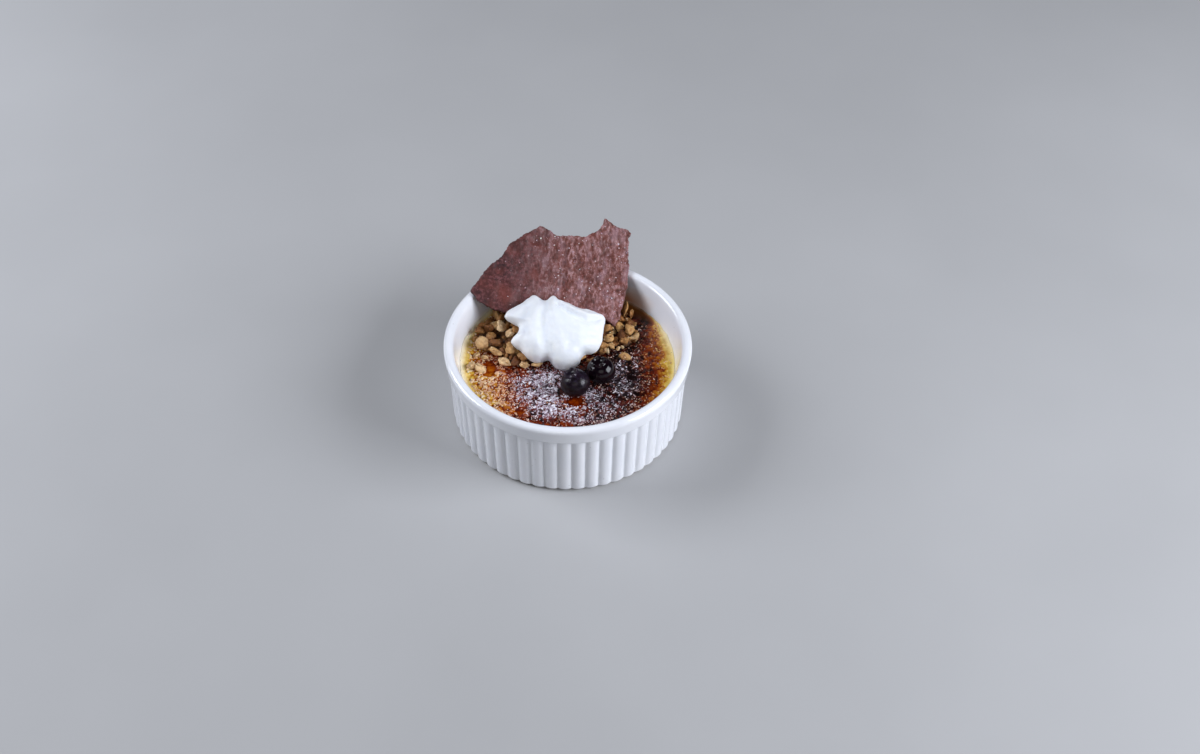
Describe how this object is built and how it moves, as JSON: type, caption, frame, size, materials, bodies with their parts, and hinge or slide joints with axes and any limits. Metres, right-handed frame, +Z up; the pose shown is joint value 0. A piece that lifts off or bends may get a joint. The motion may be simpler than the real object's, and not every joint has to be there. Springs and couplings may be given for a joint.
{
  "type": "creme brulee",
  "caption": "Creme brulee in a ribbed white porcelain ramekin, with a caramel crust, nut crumble, whipped cream, berries and a shard of chocolate tuile.",
  "frame": {"origin": "centre of the ramekin's flat underside, on the table", "axes": "+Z up; -Y towards the front, where the caramel lies open; +X to the right seen from the front; the tuile leans over the back rim"},
  "size_m": [0.096, 0.1058, 0.0486],
  "materials": {
    "porcelain": "white glazed porcelain, glossy",
    "caramel_custard": "burnt sugar crust over yellow custard, glossy, dusted with powder sugar",
    "chopped_nuts": "golden chopped nuts, dry and matt",
    "cream": "whipped cream, soft satin",
    "berry_skin": "dark blue-black berry skin, wet, with a pale bloom",
    "chocolate": "baked chocolate tuile, rough, with sugar glints"
  },
  "bodies": {
    "root": {"ramekin": "porcelain", "custard": "caramel_custard", "nut_crumble": "chopped_nuts", "whipped_cream": "cream", "berry_front": "berry_skin", "berry_back": "berry_skin", "chocolate_tuile": "chocolate"}
  },
  "joints": []
}
